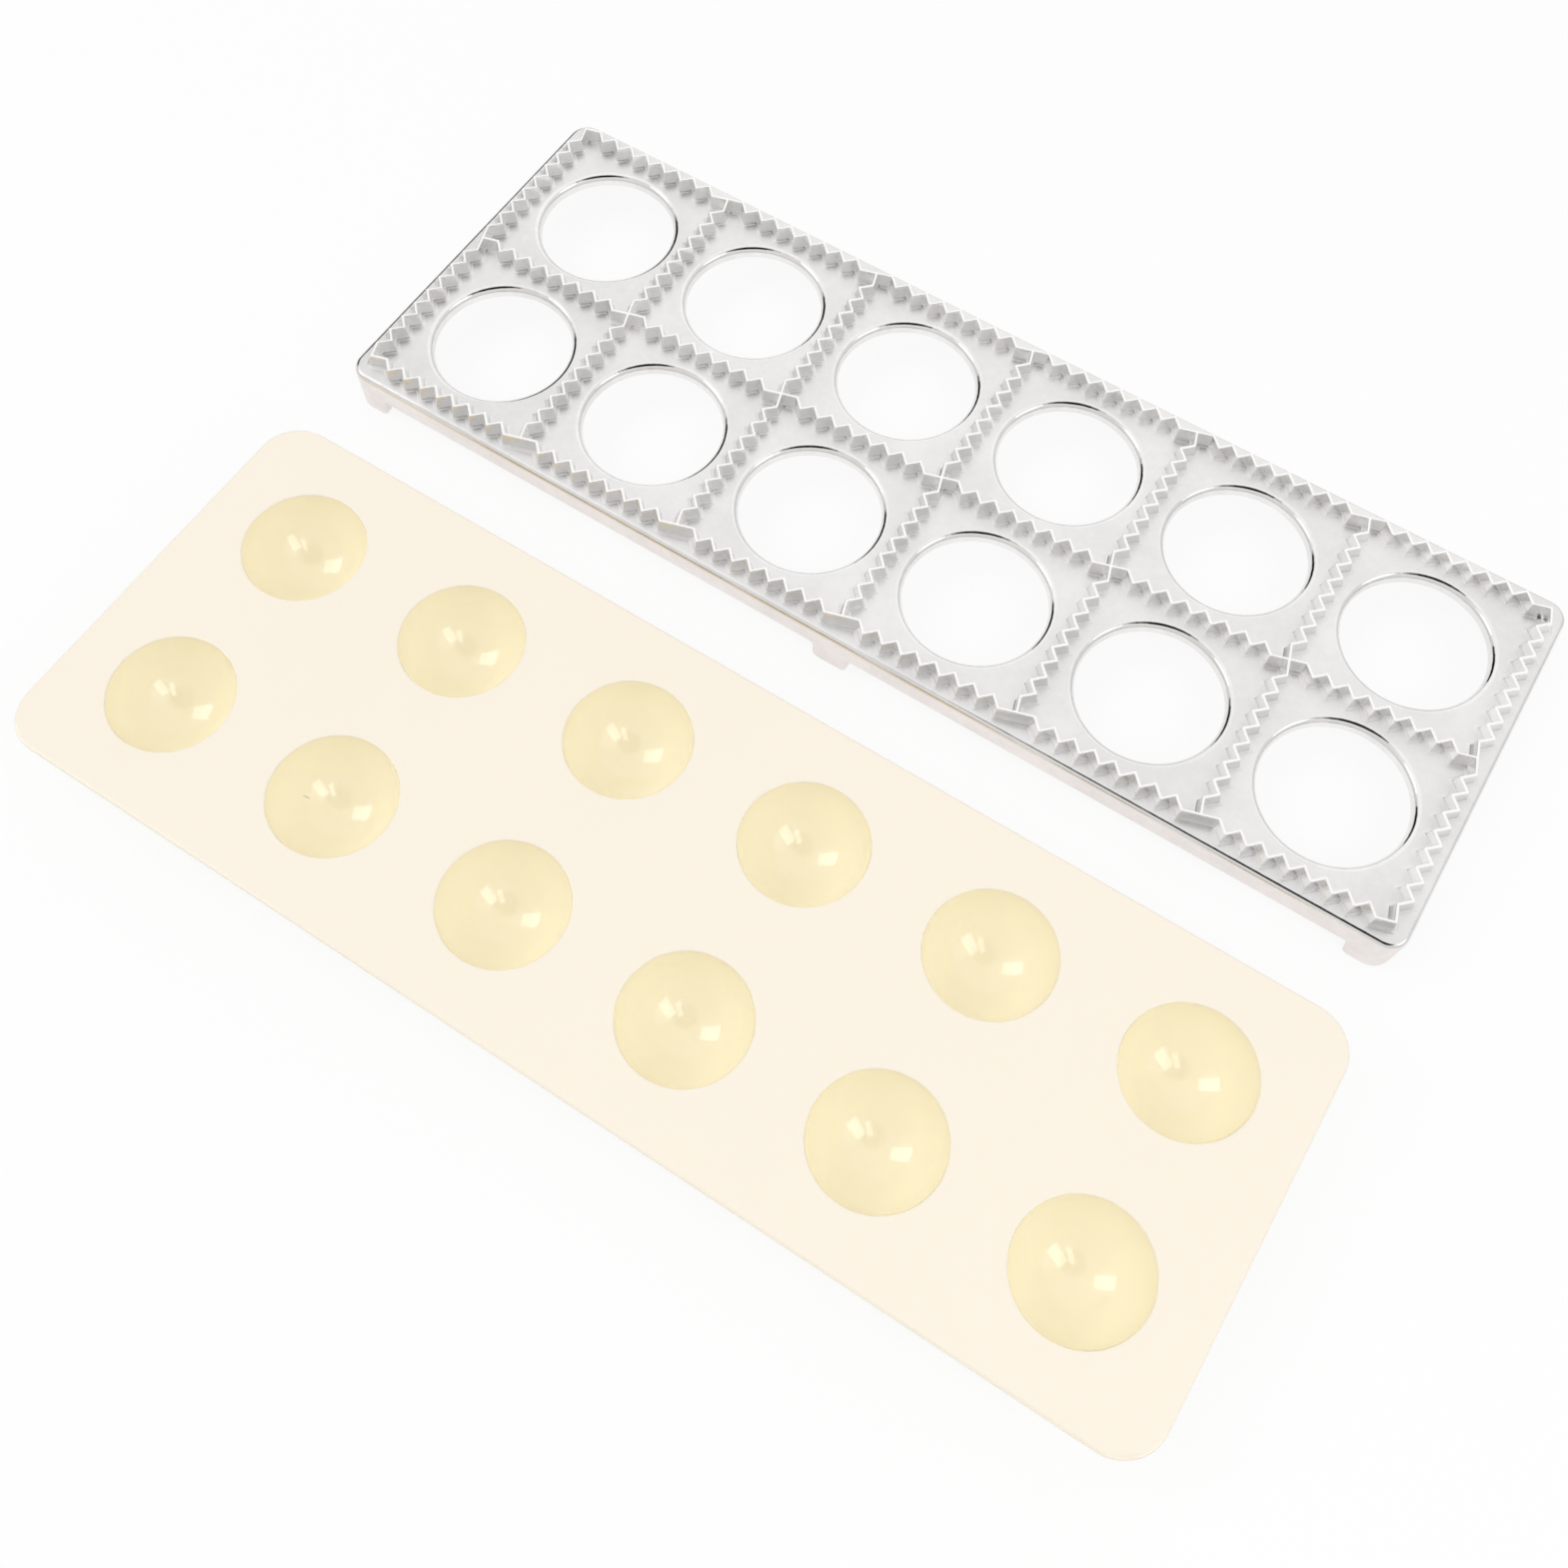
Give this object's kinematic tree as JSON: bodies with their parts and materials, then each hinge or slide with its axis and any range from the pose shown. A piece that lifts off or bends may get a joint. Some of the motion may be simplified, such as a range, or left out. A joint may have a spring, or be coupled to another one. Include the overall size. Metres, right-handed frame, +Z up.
{
  "type": "ravioli mold",
  "caption": "Ravioli mold: a cast metal cutting tray with round holes and zigzag ridges, and a plastic press plate with round bumps.",
  "frame": {"origin": "centre of the footprint of both pieces as they are laid out, on the surface they stand on", "axes": "+X along the length of both pieces, +Y from the press plate towards the cutting tray, +Z up"},
  "size_m": [0.3106, 0.2424, 0.0175],
  "materials": {
    "cast_aluminium": "polished casting with a faint satin grain",
    "cream_plastic": "smooth gloss"
  },
  "bodies": {
    "root": {"cutting_tray": "cast_aluminium", "press_plate": "cream_plastic"}
  },
  "joints": []
}
